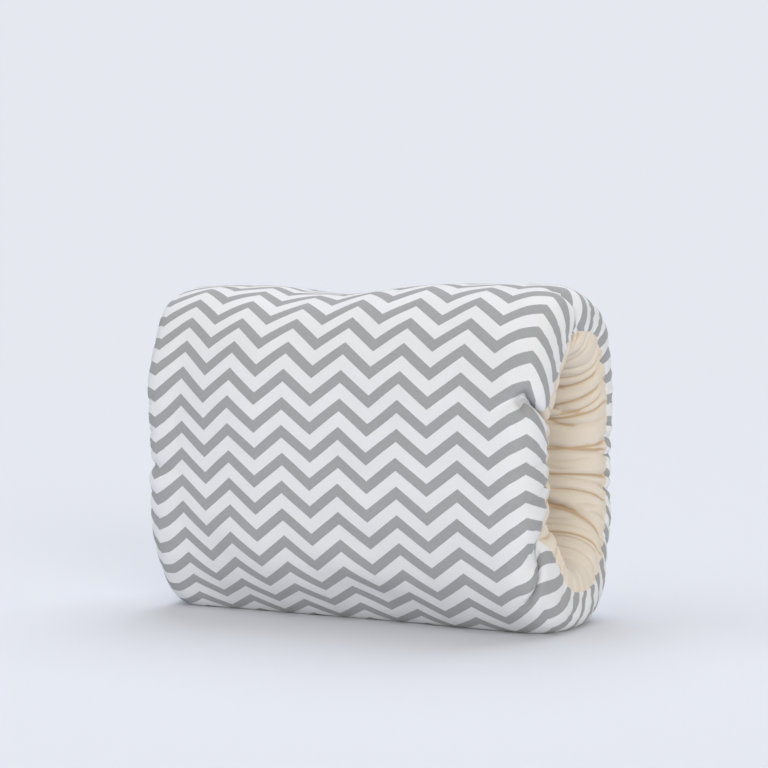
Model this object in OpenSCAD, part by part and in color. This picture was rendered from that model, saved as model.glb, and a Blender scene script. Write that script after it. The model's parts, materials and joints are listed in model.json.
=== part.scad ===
// Arm nursing pillow: a stuffed, flattened ring of cloth that slips over the forearm and rests on its underside.
// X runs along the arm tunnel, Z is up, and the cover's zip runs along the back, at +Y.
// A layer's place is its inset: how far it lies inside the pillow's skin.

/* [Pillow] */
// Length of the pillow along the arm
pillow_l = 276; // [200:1:320]
// Width of the ring from front to back
pillow_w = 138; // [116:1:180]
// Height of the ring as it stands
pillow_h = 200; // [160:1:260]
// Thickness of the stuffed wall between the skin and the tunnel
wall_t = 40; // [32:1:48]
// How far each padded end rounds over, along the arm
lip_l = 30; // [20:1:36]
// How squarely the ring fills its width and height: 2 is an ellipse
squareness = 2.6; // [2.2:0.1:3.2]
// How much the floor flattens the underside
sink = 4; // [1:0.5:8]
// Depth of the sewn mouth seam below the skin
seam_depth = 24; // [18:1:28]

/* [Cloth] */
// Thickness of the printed cover
cover_t = 0.8; // [0.5:0.1:1.4]
// Thickness of the gathered tunnel lining
sleeve_t = 0.8; // [0.5:0.1:1.4]
// Thickness of the bag that holds the filling
bag_t = 0.6; // [0.4:0.1:1]
// Free space between two layers of cloth
layer_gap = 0.2; // [0.1:0.05:0.4]

/* [Elastics] */
// Width of each elastic band
elastic_w = 12; // [8:1:16]
// Thickness of each elastic band
elastic_t = 1; // [0.6:0.1:1.4]
// Distance of each mouth elastic from the mouth seam
elastic_off = 3; // [2:0.5:6]

/* [Zip] */
// Distance from each end of the pillow to the zip's stop
zip_end = 43; // [40:1:70]
// Length of bare tape past each stop
tape_end = 6; // [4:1:8]
// Width of each zip tape
tape_w = 12.5; // [9:0.5:13]
// Thickness of each zip tape
tape_t = 0.45; // [0.3:0.05:0.7]
// Gap between the two tapes under the teeth
tape_gap = 0.8; // [0.6:0.1:1.2]
// Width of the closed row of teeth
chain_w = 4.4; // [4:0.2:5]
// Thickness of the teeth
chain_t = 1.3; // [1:0.1:1.6]
// Distance from one tooth to the next on a tape
tooth_pitch = 2; // [1.6:0.2:3]
// How far each tooth reaches past the middle of the zip
tooth_lap = 0.9; // [0.6:0.1:1.1]
// Free space between meshed teeth
mesh_gap = 0.15; // [0.1:0.05:0.25]
// Length of each stop
stop_l = 2.6; // [2:0.2:4]

/* [Slider] */
// Length of the slider
slider_l = 10; // [9:0.5:13]
// Thickness of the slider's two plates
plate_t = 0.9; // [0.7:0.1:1.2]
// Thickness of the slider's side flanges
flange_t = 0.9; // [0.7:0.1:1.2]
// Free space between the slider and what it runs on
run_gap = 0.2; // [0.12:0.02:0.3]
// Length of the post that joins the slider's plates
post_l = 2.2; // [1.6:0.2:3]
// Width of the rim of the pull's eye round its pin
eye_rim = 0.7; // [0.5:0.1:1]
// Radius of the pin that the pull turns on
pin_r = 0.5; // [0.4:0.05:0.7]
// Radial clearance of the pull on its pin
pin_gap = 0.06; // [0.03:0.01:0.09]
// Thickness of each ear that holds the pin
ear_t = 0.8; // [0.6:0.1:1.2]
// Length of the pull from its pin to its tip
pull_l = 22; // [14:1:30]
// Width of the pull
pull_w = 6.5; // [5:0.5:9]
// Thickness of the pull
pull_t = 1.2; // [0.9:0.1:1.6]

/* [Label] */
// Length of the blank care label along the zip
label_l = 30; // [20:1:50]
// Height of the blank care label
label_h = 14; // [8:1:15]
// Thickness of the blank care label
label_t = 0.3; // [0.2:0.05:0.4]

/* [Hidden] */

PRINT = [0.84, 0.85, 0.87];
CREAM = [0.90, 0.82, 0.73];
LINEN = [0.95, 0.94, 0.90];
WHITE = [0.96, 0.96, 0.96];
TAPE = [0.90, 0.90, 0.91];
METAL = [0.70, 0.71, 0.73];

// The ring: facets round it, facets round each padded end, and a flat facet centred on the zip.
ring_n = 48;
turn_step = 22.5;
half_w = pillow_w / 2;
half_h = (pillow_h + sink) / 2;
mid_z = pillow_h - half_h;
flat_x = pillow_l / 2 - lip_l;
seam_turn = acos(1 - 2 * seam_depth / wall_t);
back_y = half_w * bulge(cos(180 / ring_n));

// Insets of the layers, from the skin inwards. The lining's facets dip below its curve by chord_sag.
tape_in = cover_t + layer_gap;
chord_sag = lip_l * (1 - cos(turn_step / 2));
elastic_in = sleeve_t + layer_gap + chord_sag;
base_in = tape_in + tape_t + run_gap;
bag_in = max(base_in + plate_t, elastic_in + elastic_t) + 2 * layer_gap;
fill_in = bag_in + bag_t + layer_gap;

// The zip: its length over the stops, how far its parts stand proud of the skin, and where they lie along it.
zip_l = pillow_l - 2 * zip_end;
chain_out = chain_t - tape_in;
top_out = chain_out + run_gap;
slot_h = chain_w + 2 * (flange_t + 2 * run_gap);
slider_w = chain_w + 2 * (flange_t + run_gap);
eye_r = pin_r + pin_gap + eye_rim;
pin_out = top_out + plate_t + eye_r + run_gap;
ear_r = eye_r;
slider_x = zip_l / 2 - stop_l - slider_l / 2 - run_gap;
corner_cut = 1.2;
post_x = slider_x + slider_l / 2 - post_l;
teeth_x = post_x - run_gap;
shift_y = -(pin_out + ear_r) / 2;

// A superellipse's coordinate from a sine or cosine.
function bulge(v) = sign(v) * pow(abs(v), 2 / squareness);
function outline(t, w, h) = [w * bulge(cos(t)), h * bulge(sin(t))];

// The point at ring angle t and section station [x, turn], inset by d. A turn of 0 is on the outside of the wall,
// 90 is on the nose of a padded end and 180 is in the tunnel.
function wall_point(t, at, d) =
    let (out = outline(t, half_w, half_h))
    let (in = outline(t, half_w - wall_t, half_h - wall_t))
    let (half = norm(out - in) / 2)
    let (yz = (out + in) / 2 + (out - in) / 2 * (1 - d / half) * cos(at[1]))
    [at[0] + sign(at[0]) * (lip_l - d) * sin(at[1]), yz[0], max(mid_z + yz[1], d)];

function ring_angles() = [for (i = [0 : ring_n - 1]) (i + 0.5) * 360 / ring_n];
function turns(from, to) = [from, for (a = [0 : turn_step : 180]) if (a > from + 4 && a < to - 4) a, to];
function reversed(list) = [for (i = [len(list) - 1 : -1 : 0]) list[i]];

// Stations along the wall's section: leftwards over the outside, or rightwards through the tunnel. A band's stations
// always run that way round.
function both_ends(from, to) =
    let (right = [for (a = turns(from, to)) [flat_x, a]])
    let (left = [for (a = turns(from, to)) [-flat_x, a]])
    from == 0 ? concat(reversed(right), left) : concat(left, reversed(right));

function grid(stations, d) = [for (t = ring_angles()) for (at = stations) wall_point(t, at, d)];

// Two triangles for each cell of a grid that is closed round the ring.
function cells(cols, last, start, flip) = [
    for (i = [0 : ring_n - 1]) for (j = [0 : last])
        let (a = start + i * cols + j)
        let (b = start + i * cols + (j + 1) % cols)
        let (c = start + ((i + 1) % ring_n) * cols + (j + 1) % cols)
        let (e = start + ((i + 1) % ring_n) * cols + j)
        for (face = flip ? [[a, c, b], [a, e, c]] : [[a, b, c], [a, c, e]]) face
];

// The rim of a shell, between the same station of its two skins.
function rim(cols, col, second, flip) = [
    for (i = [0 : ring_n - 1])
        let (a = i * cols + col)
        let (b = ((i + 1) % ring_n) * cols + col)
        for (face = flip ? [[a, b, b + second], [a, b + second, a + second]]
                         : [[a, b + second, b], [a, a + second, b + second]]) face
];

// A band of cloth round the ring, from inset d0 to inset d1.
module band(stations, d0, d1) {
    cols = len(stations);
    second = ring_n * cols;
    polyhedron(
        points = concat(grid(stations, d0), grid(stations, d1)),
        faces = concat(cells(cols, cols - 2, 0, true), cells(cols, cols - 2, second, false),
                       rim(cols, 0, second, false), rim(cols, cols - 1, second, true)),
        convexity = 8);
}

// The whole padded ring, solid, with its skin at inset d.
module padded_ring(d) {
    loop = concat([for (a = turns(0, 180)) [flat_x, a]], reversed([for (a = turns(0, 180)) [-flat_x, a]]));
    polyhedron(points = grid(loop, d), faces = cells(len(loop), len(loop) - 1, 0, false), convexity = 8);
}

// A plate in the back's plane, from one inset to a deeper one. Its outline is drawn along X and Z.
module back_plate(from, to) {
    translate([0, back_y - from, mid_z]) rotate([90, 0, 0]) linear_extrude(to - from) children();
}

// Moves the ring so that the frame's origin is under the middle of the whole depth, zip pull included.
module at_ring() {
    translate([0, shift_y, 0]) children();
}

module outer_cover() {
    color(PRINT) at_ring() difference() {
        band(both_ends(0, seam_turn), 0, cover_t);
        back_plate(-1, cover_t + 1) square([zip_l + 2 * run_gap, slot_h], center = true);
    }
}

module inner_sleeve() {
    color(CREAM) at_ring() band(both_ends(seam_turn, 180), 0, sleeve_t);
}

module mouth_elastic(side) {
    degrees_per_mm = 360 / PI / (lip_l + wall_t / 2);
    first = seam_turn + elastic_off * degrees_per_mm;
    last = first + elastic_w * degrees_per_mm;
    stations = [for (turn = [first, (first + last) / 2, last]) [side * flat_x, turn]];
    color(WHITE) at_ring() band(side > 0 ? reversed(stations) : stations, elastic_in, elastic_in + elastic_t);
}

module mouth_elastic_left() {
    mouth_elastic(-1);
}

module mouth_elastic_right() {
    mouth_elastic(1);
}

module middle_elastic() {
    stations = [[-elastic_w / 2, 180], [elastic_w / 2, 180]];
    color(WHITE) at_ring() band(stations, elastic_in, elastic_in + elastic_t);
}

module fill_bag() {
    color(LINEN) at_ring() difference() {
        padded_ring(bag_in);
        padded_ring(bag_in + bag_t);
    }
}

module fibre_fill() {
    color(WHITE) at_ring() padded_ring(fill_in);
}

// One tape, on the side of the zip given by 1 or -1.
module zip_tape(side) {
    color(TAPE) at_ring() back_plate(tape_in, tape_in + tape_t)
        translate([-zip_l / 2 - tape_end, side > 0 ? tape_gap / 2 : -tape_gap / 2 - tape_w])
            square([zip_l + 2 * tape_end, tape_w]);
}

module zip_tape_upper() {
    zip_tape(1);
}

module zip_tape_lower() {
    zip_tape(-1);
}

// The teeth of one tape: a spine with one finger for each tooth. The two rows mesh half a pitch apart.
module zip_teeth(side) {
    tooth_w = tooth_pitch / 2 - mesh_gap;
    first_x = -zip_l / 2 + stop_l + tooth_pitch + (side > 0 ? 0 : tooth_pitch / 2);
    count = floor((teeth_x - tooth_w - first_x) / tooth_pitch);
    root_z = tooth_lap + mesh_gap;
    fingers = [for (k = [0 : count]) let (x = first_x + k * tooth_pitch)
        each [[x, root_z], [x, -tooth_lap], [x + tooth_w, -tooth_lap], [x + tooth_w, root_z]]];
    end_x = first_x + count * tooth_pitch + tooth_w;
    color(TAPE) at_ring() back_plate(-chain_out, tape_in)
        scale([1, side, 1]) polygon(concat(fingers, [[end_x, chain_w / 2], [first_x, chain_w / 2]]));
}

module zip_teeth_upper() {
    zip_teeth(1);
}

module zip_teeth_lower() {
    zip_teeth(-1);
}

module zip_top_stops() {
    color(METAL) at_ring() back_plate(-chain_out, tape_in)
        for (side = [-1, 1])
            translate([zip_l / 2 - stop_l, side > 0 ? tape_gap / 2 : -chain_w / 2])
                square([stop_l, (chain_w - tape_gap) / 2]);
}

module zip_bottom_stop() {
    color(METAL) at_ring() back_plate(-chain_out, tape_in)
        translate([-zip_l / 2, -chain_w / 2]) square([stop_l, chain_w]);
}

// The slider's plate, with its corners cut.
module slider_outline() {
    x = slider_l / 2;
    z = slider_w / 2;
    cut = corner_cut;
    polygon([[-x, -z + cut], [-x + cut, -z], [x - cut, -z], [x, -z + cut],
             [x, z - cut], [x - cut, z], [-x + cut, z], [-x, z - cut]]);
}

module zip_slider() {
    color(METAL) at_ring() union() {
        back_plate(-top_out - plate_t, -top_out) translate([slider_x, 0]) slider_outline();
        back_plate(base_in, base_in + plate_t) translate([slider_x, 0]) slider_outline();
        back_plate(-top_out - plate_t / 2, base_in + plate_t / 2)
            translate([post_x, -tape_gap / 2 + run_gap / 2]) square([post_l - corner_cut / 2, tape_gap - run_gap]);
        for (side = [-1, 1])
            back_plate(-top_out - plate_t / 2, tape_in - run_gap)
                translate([slider_x, side * (slider_w - flange_t) / 2])
                    square([slider_l - 2 * corner_cut, flange_t], center = true);
        for (side = [-1, 1])
            translate([slider_x, back_y + pin_out, mid_z + side * (slider_w / 2 - ear_t / 2)]) ear();
        translate([slider_x, back_y + pin_out, mid_z])
            cylinder(h = slider_w - ear_t, r = pin_r, center = true, $fn = 32);
    }
}

// One ear: a round end on the pin's axis and a foot down to the outer plate.
module ear() {
    linear_extrude(ear_t, center = true) union() {
        circle(r = ear_r, $fn = 32);
        translate([-ear_r, -pin_out + top_out + plate_t / 2]) square([2 * ear_r, pin_out - top_out - plate_t / 2]);
    }
}

// The pull lies flat along the closed teeth, on its pin.
module zip_pull() {
    eye_l = slider_w - 2 * ear_t - 2 * run_gap;
    tab_x = norm([ear_r, pin_out - top_out - plate_t]) + run_gap;
    color(METAL) at_ring() translate([slider_x, back_y + pin_out, mid_z]) difference() {
        union() {
            cylinder(h = eye_l, r = eye_r, center = true, $fn = 32);
            translate([-tab_x - 1, -pull_t / 2, -eye_l / 2]) cube([tab_x + 1, pull_t, eye_l]);
            rotate([90, 0, 0]) linear_extrude(pull_t, center = true) difference() {
                union() {
                    translate([-pull_l + pull_w / 2, -pull_w / 2]) square([pull_l - pull_w / 2 - tab_x, pull_w]);
                    translate([-pull_l + pull_w / 2, 0]) circle(d = pull_w, $fn = 48);
                }
                translate([-pull_l + pull_w / 2, 0]) circle(d = pull_w * 0.45, $fn = 32);
            }
        }
        cylinder(h = eye_l + 1, r = pin_r + pin_gap, center = true, $fn = 32);
    }
}

module care_label() {
    first_z = slider_w / 2 + run_gap;
    color(WHITE) at_ring() back_plate(tape_in + tape_t, tape_in + tape_t + label_t)
        translate([-zip_l / 2 + stop_l, -first_z - label_h]) square([label_l, label_h]);
}

outer_cover();
inner_sleeve();
mouth_elastic_left();
mouth_elastic_right();
middle_elastic();
fill_bag();
fibre_fill();
zip_tape_upper();
zip_tape_lower();
zip_teeth_upper();
zip_teeth_lower();
zip_top_stops();
zip_bottom_stop();
zip_slider();
zip_pull();
care_label();
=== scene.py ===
"""The looks of an arm nursing pillow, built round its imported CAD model.

It has a printed cover, a gathered lining, elastics, a stuffed bag, a zip and a label.
"""

import json
import math

import bpy
import numpy as np
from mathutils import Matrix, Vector

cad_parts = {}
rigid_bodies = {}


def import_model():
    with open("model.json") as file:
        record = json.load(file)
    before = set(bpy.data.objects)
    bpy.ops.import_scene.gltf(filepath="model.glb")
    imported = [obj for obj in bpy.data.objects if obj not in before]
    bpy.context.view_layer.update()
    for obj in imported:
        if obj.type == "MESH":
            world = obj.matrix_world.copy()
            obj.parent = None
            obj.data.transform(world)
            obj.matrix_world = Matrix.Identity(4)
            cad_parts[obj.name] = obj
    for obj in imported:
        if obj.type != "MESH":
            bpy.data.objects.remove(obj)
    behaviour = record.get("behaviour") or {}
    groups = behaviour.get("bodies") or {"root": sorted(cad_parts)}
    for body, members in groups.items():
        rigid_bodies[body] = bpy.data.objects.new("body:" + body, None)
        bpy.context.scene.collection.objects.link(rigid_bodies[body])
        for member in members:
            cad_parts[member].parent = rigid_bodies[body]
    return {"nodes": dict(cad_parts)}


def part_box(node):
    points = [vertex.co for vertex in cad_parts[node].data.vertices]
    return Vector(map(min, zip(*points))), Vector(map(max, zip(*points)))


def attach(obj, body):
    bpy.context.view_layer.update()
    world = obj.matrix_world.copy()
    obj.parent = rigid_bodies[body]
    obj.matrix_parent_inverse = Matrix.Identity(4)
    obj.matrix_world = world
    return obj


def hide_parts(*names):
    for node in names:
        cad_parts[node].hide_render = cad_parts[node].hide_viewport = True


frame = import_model()
for leftover in [o for o in bpy.data.objects if o.name in ("Cube", "Light", "Camera")]:
    bpy.data.objects.remove(leftover)
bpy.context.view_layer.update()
link = bpy.context.scene.collection.objects.link
MM = 0.001

# ---------------- sizes, from the frame
skin_low, skin_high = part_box("outer_cover")
stop_low, stop_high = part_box("zip_bottom_stop")
HALF_L = (skin_high.x - skin_low.x) / 2
HALF_W = (skin_high.y - skin_low.y) / 2
MID_Y = (skin_high.y + skin_low.y) / 2
MID_Z = (stop_high.z + stop_low.z) / 2
HALF_H = skin_high.z - MID_Z
BACK_Y = skin_high.y
SLOT_HALF = 3.5 * MM
SLOT_X = -stop_low.x + 0.2 * MM

# The padded ends and the wall, as in the CAD. The seam lies part of the turn round a padded end.
LIP = 30 * MM
WALL = 40 * MM
SEAM_INSET = 24 * MM
FLAT_X = HALF_L - LIP
SEAM_TURN = math.acos(1 - 2 * SEAM_INSET / WALL)

# The cloth as it was cut, before gathering. V runs round from the zip, over the top and down the front.
COVER_ROUND = 566 * MM
LINING_ROUND = 460 * MM

COVER_COLUMNS, LINING_COLUMNS = 396, 560
COVER_STEPS, LINING_STEPS = 80, 60
FLOOR_GAP = 0.15 * MM


# ---------------- small helpers
def smooth(x, low, high):
    """0 below low, 1 above high, with a smooth ramp between."""
    k = np.clip((x - low) / (high - low), 0, 1)
    return k * k * (3 - 2 * k)


def hump(x, middle, width):
    """1 at the middle, falling away smoothly over about the width."""
    return np.exp(-(((x - middle) / width) ** 2))


def apart(share, middle):
    """The signed distance between two shares of the way round."""
    return (share - middle + 0.5) % 1 - 0.5


def unevenness(share, x, waves, reach, seed, terms=10):
    """Smooth random unevenness of about 1, closed round the ring. waves is the most waves round it, and reach
    how far along x it stays alike."""
    draw = np.random.default_rng(seed)
    total = np.zeros(np.broadcast(share, x).shape)
    for _ in range(terms):
        k = draw.integers(1, waves + 1)
        total = total + np.sin(2 * math.pi * (k * share + draw.uniform()) + draw.normal() * x / reach)
    return total / math.sqrt(terms / 2)


# ---------------- the stuffed ring, before its cloth relaxes
# How square the superellipses are: the outside's, a mouth seam's, the tunnel's and the padded ends'.
SKIN_SQUARENESS, MOUTH_SQUARENESS, TUNNEL_SQUARENESS, LIP_SQUARENESS = 2.6, 2.4, 2.3, 2.7
MOUTH_HALF_W, MOUTH_HALF_H = 49 * MM, 76 * MM

# Shares of the way round at which the tucks meet the right mouth's seam: two at the front and one on top.
UPPER_TUCK, LOWER_TUCK, TOP_TUCK = 0.428, 0.601, 0.274
# How far the front's tucks draw the seam in, and how wide that is as a share of the way round.
SEAM_PINCHES = ((UPPER_TUCK, 4.5 * MM, 0.012), (LOWER_TUCK, 6.5 * MM, 0.020))
# Where the seam's front corners are cut, and by how much.
SEAM_CORNERS = ((0.335, 3.0 * MM), (0.375, 6.0 * MM), (0.638, 5.5 * MM))

# Towards the left end the front comes in by this much, from this far left of the middle, over this length.
TAPER, TAPER_FROM, TAPER_LENGTH = 9 * MM, 40 * MM, 63 * MM

# The filling's larger lumps: height, then where and how wide round the ring, then where and how wide along x.
LUMPS = (
    (-4.4 * MM, 0.25, 0.07, -25 * MM, 34 * MM),
    (1.6 * MM, 0.25, 0.07, 62 * MM, 40 * MM),
    (1.2 * MM, 0.5, 0.1, 20 * MM, 70 * MM),
)


def outline(half_w, half_h, squareness, share):
    """Points of a superellipse at shares of its length, from the back upwards: over +Z, then the front."""
    t = np.linspace(0, 2 * math.pi, 4001)
    y = half_w * np.sign(np.cos(t)) * np.abs(np.cos(t)) ** (2 / squareness)
    z = half_h * np.sign(np.sin(t)) * np.abs(np.sin(t)) ** (2 / squareness)
    run = np.concatenate([[0], np.cumsum(np.hypot(np.diff(y), np.diff(z)))])
    at = share * run[-1]
    return np.stack([np.interp(at, run, y) + MID_Y, np.interp(at, run, z) + MID_Z], -1)


def mouth_ring(share, side):
    """Points of a mouth's seam, at those shares. side is 1 for the right mouth and -1 for the left one."""
    share = share % 1
    yz = outline(MOUTH_HALF_W, MOUTH_HALF_H, MOUTH_SQUARENESS, share)
    yz[..., 0] += 1.5 * MM + 1.5 * MM * hump(apart(share, 0), 0, 0.12)
    for corner, cut in SEAM_CORNERS:
        yz[..., 0] += cut * hump(apart(share, corner), 0, 0.042)
    yz[..., 0] += 8 * MM * (1 - smooth(np.abs(apart(share, 0.5)), 0.03, 0.085))
    # The seam is saddled: front and back lie further in than top and bottom.
    saddle = np.abs(np.cos(2 * math.pi * share)) ** 1.5
    front_saddle = 6.5 * MM if side > 0 else 3.0 * MM
    back_saddle = 6.0 * MM
    x = HALF_L - 2 * MM - saddle * np.where(yz[..., 0] < MID_Y, front_saddle, back_saddle)
    if side > 0:
        for tuck, deep, wide in SEAM_PINCHES:
            pinch = hump(apart(share, tuck), 0, wide)
            x -= deep * pinch
            yz[..., 0] -= 0.25 * deep * pinch
    return np.concatenate([(side * x)[..., None], yz], -1)


def lip_squareness(share, side):
    """How square the padded end's section is: rounder at the back, at the right end's top and low on the left
    end's front, squarer at the left end's top."""
    top, back = hump(apart(share, 0.27), 0, 0.10), hump(apart(share, 0), 0, 0.12)
    low = hump(apart(share, 0.66), 0, 0.07)
    at_top, at_low = np.where(side > 0, -0.35, 0.7), np.where(side > 0, 0, 0.5)
    return LIP_SQUARENESS - 0.65 * back + at_top * top - at_low * low


def lip_turn(turn, squareness):
    """The cosine and sine of a turn round the padded end, squared off a little, as stuffed cloth is there."""
    cos, sin = np.cos(turn), np.sin(np.minimum(turn, math.pi))
    return np.sign(cos) * np.abs(cos) ** (2 / squareness), np.abs(sin) ** (2 / squareness)


def ring_point(x, turn, share):
    """A point of the ring's wall. turn goes round the padded end at x's side, from 0 outside to pi within."""
    side = np.sign(x) + (x == 0)
    squareness = lip_squareness(share, side)
    cos, sin = lip_turn(turn, squareness)
    cos_seam, sin_seam = lip_turn(SEAM_TURN, squareness)
    skin = outline(HALF_W, HALF_H, SKIN_SQUARENESS, share)
    front = smooth(0.22 - np.abs(apart(share, 0.5)), 0, 0.12)
    skin[..., 0] += TAPER * front * (np.clip(-x - TAPER_FROM, 0, None) / TAPER_LENGTH) ** 1.7
    tunnel = outline(HALF_W - WALL, HALF_H - WALL, TUNNEL_SQUARENESS, share)
    ring = np.where((side > 0)[..., None], mouth_ring(share, 1), mouth_ring(share, -1))
    w = (1 - cos) / 2
    w_seam = (1 - cos_seam) / 2
    to_seam = np.clip(w / w_seam, 0, 1)[..., None]
    past_seam = np.clip((w - w_seam) / (1 - w_seam), 0, 1)[..., None]
    yz = skin + (ring[..., 1:] - skin) * to_seam
    yz = yz + (tunnel - yz) * past_seam
    reach = (np.abs(ring[..., 0]) - FLAT_X) / sin_seam
    end = side * reach * sin
    return np.concatenate([(x + end)[..., None], yz], -1)


def stuffing(points, share):
    """The filling's unevenness: a dip in the top, a fuller belly, a rounded lower edge and soft lumps."""
    x = points[..., 0]
    h = np.zeros(share.shape)
    for height, at_share, wide, at_x, long in LUMPS:
        h += height * hump(apart(share, at_share), 0, wide) * hump(x, at_x, long)
    edge = hump(apart(share, 0.664), 0, 0.038) * (1 - smooth(x, 20 * MM, 95 * MM))
    h -= 4.0 * MM * edge * smooth(x, -134 * MM, -80 * MM)
    off_floor = smooth(np.abs(apart(share, 0.75)), 0.05, 0.12)
    h += 1.0 * MM * off_floor * unevenness(share, x, 5, 45 * MM, 11)
    h += 0.42 * MM * off_floor * unevenness(share, x, 16, 17 * MM, 12, 14)
    return h


# ---------------- cloth that finds its shape
def unit(v):
    return v / np.maximum(np.sqrt((v * v).sum(-1, keepdims=True)), 1e-12)


def normals_of(points):
    """Normals of a grid that is closed round its columns, away from the filling."""
    around = np.roll(points, -1, 1) - np.roll(points, 1, 1)
    along = np.gradient(points, axis=0)
    return unit(np.cross(along, around))


def round_lengths(points):
    """The lengths of the threads round the ring."""
    return np.sqrt(((np.roll(points, -1, 1) - points) ** 2).sum(-1))


def along_lengths(points):
    """The lengths of the threads along the ring, from each row to the next."""
    return np.sqrt(((points[1:] - points[:-1]) ** 2).sum(-1))


def run_along(points):
    """How far each point is from the first row, along its own column."""
    return np.concatenate([np.zeros((1, points.shape[1])), np.cumsum(along_lengths(points), 0)])


FIRMNESS = 0.9


def keep_length(a, b, free_a, free_b, rest):
    """Moves the two ends of each thread so that it nears its length. a and b are views, changed in place."""
    d = b - a
    length = np.maximum(np.sqrt((d * d).sum(-1)), 1e-9)
    d *= (FIRMNESS * (1 - rest / length) / np.maximum(free_a + free_b, 1e-6))[..., None]
    a += d * free_a[..., None]
    b -= d * free_b[..., None]


def keep_lengths(cloth, free, round_rest, along_rest):
    """Nears every thread to its length once, every second thread first. It changes cloth."""
    keep_length(cloth[:, 0::2], cloth[:, 1::2], free[:, 0::2], free[:, 1::2], round_rest[:, 0::2])
    keep_length(cloth[:, 1:-1:2], cloth[:, 2::2], free[:, 1:-1:2], free[:, 2::2], round_rest[:, 1:-1:2])
    keep_length(cloth[:, -1], cloth[:, 0], free[:, -1], free[:, 0], round_rest[:, -1])
    last = len(cloth) - 1
    for start in (0, 1):
        a, free_a = cloth[start:last:2], free[start:last:2]
        b, free_b = cloth[start + 1 :: 2][: len(a)], free[start + 1 :: 2][: len(a)]
        keep_length(a, b, free_a, free_b, along_rest[start::2][: len(a)])


def relax(cloth, round_rest, along_rest, free, aim, steps, pull, pressure, stiff, floor=True):
    """Lets gathered cloth find its shape: its threads keep their lengths, the filling presses it outwards and
    pulls it towards its aim, and it bends smoothly. Where free is 0 it is sewn down. It changes cloth."""
    fixed = cloth.copy()
    held = free[..., None]
    for _ in range(steps):
        cloth += normals_of(cloth) * pressure * held
        cloth += (aim - cloth) * pull * held
        keep_lengths(cloth, free, round_rest, along_rest)
        keep_lengths(cloth, free, round_rest, along_rest)
        near = np.roll(cloth, 1, 1) + np.roll(cloth, -1, 1) - 2 * cloth
        far = np.roll(cloth, 2, 1) + np.roll(cloth, -2, 1) - 2 * cloth
        cloth += (stiff * near + 0.2 * stiff * far) * held
        bend = np.zeros_like(cloth)
        bend[1:-1] = cloth[2:] + cloth[:-2] - 2 * cloth[1:-1]
        cloth += 0.10 * bend * held
        if floor:
            np.maximum(cloth[..., 2], FLOOR_GAP, out=cloth[..., 2])
        cloth[...] = np.where(held > 0, cloth, fixed)


# ---------------- creases
def creases(share, run, ring, family, seed_step=0):
    """A field of narrow valleys, negative, round a ring of that length. run is how far along the cloth each
    point is. Each valley starts, ends and slants a little at random."""
    spacing, depth, width, starts, lengths, slant, seed = family
    draw = np.random.default_rng(seed + seed_step)
    count = round(ring / (spacing * MM))
    field = np.zeros(share.shape)
    for i in range(count):
        place = (i + draw.uniform(-0.32, 0.32)) / count
        start = draw.uniform(*starts) * MM
        length = draw.uniform(*lengths) * MM
        deep = depth * MM * draw.uniform(0.45, 1.15)
        wide = width * MM * draw.uniform(0.8, 1.25)
        lean = draw.normal() * slant
        swing = draw.uniform(-1, 1) * 2 * MM
        turn = draw.uniform(0, 2 * math.pi)
        line = place + (lean * run + swing * np.sin(run / (17 * MM) + turn)) / ring
        d = np.abs(apart(share, line)) * ring
        begun = smooth(run, start - 8 * MM, start + 3 * MM)
        ended = smooth(run, start + 0.35 * length, start + length)
        field = np.minimum(field, -deep * begun * (1 - ended) * np.exp(-((d / wide) ** 1.25)))
    return field


def drawn_in(d, cloth, reach):
    """How far cloth moves sideways towards a tuck that swallows that much of it on each side. d is how far it
    is from the tuck's line, and beyond reach nothing moves."""
    far = np.abs(d)
    return -np.sign(d) * np.minimum(far, cloth) * (1 - smooth(far, cloth, reach))


# ---------------- the cover's cloth
# Families of creases at each mouth: spacing, depth, width, range of starts, range of lengths in millimetres,
# slant and seed.
CREASES = ((13.5, 3.0, 2.6, (-2, 2), (14, 34), 0.28, 21), (9, 1.3, 1.6, (-2, 1), (7, 15), 0.2, 31))
# The folds that fan out from the upper tuck's dimple: angle, depth and reach in millimetres.
FAN = ((0.60, 3.8, 34), (-0.66, 3.0, 28), (0.12, 1.6, 20), (-1.35, 2.0, 17), (1.15, 3.2, 17))


def cover_rows():
    """(x, turn) of each row of the cover, from the right seam to the left one."""
    lip = (SEAM_TURN * np.linspace(1, 0, 27)[:-1]).tolist()
    near = np.linspace(FLAT_X, SLOT_X, 7).tolist()
    middle = np.linspace(SLOT_X, -SLOT_X, 86).tolist()[1:]
    far = [-x for x in near[::-1]][1:]
    rows = [(FLAT_X, turn) for turn in lip] + [(x, 0.0) for x in near + middle + far]
    return np.array(rows + [(-FLAT_X, turn) for turn in lip[::-1]])


def cover_shares():
    """Each column's share of the way round. The last four cross the zip's slot, where they have no faces."""
    gap = SLOT_HALF / COVER_ROUND
    wide = np.linspace(gap, 1 - gap, COVER_COLUMNS - 4)
    return np.concatenate([wide, 1 + gap * np.array([-0.6, -0.2, 0.2, 0.6])])


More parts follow.
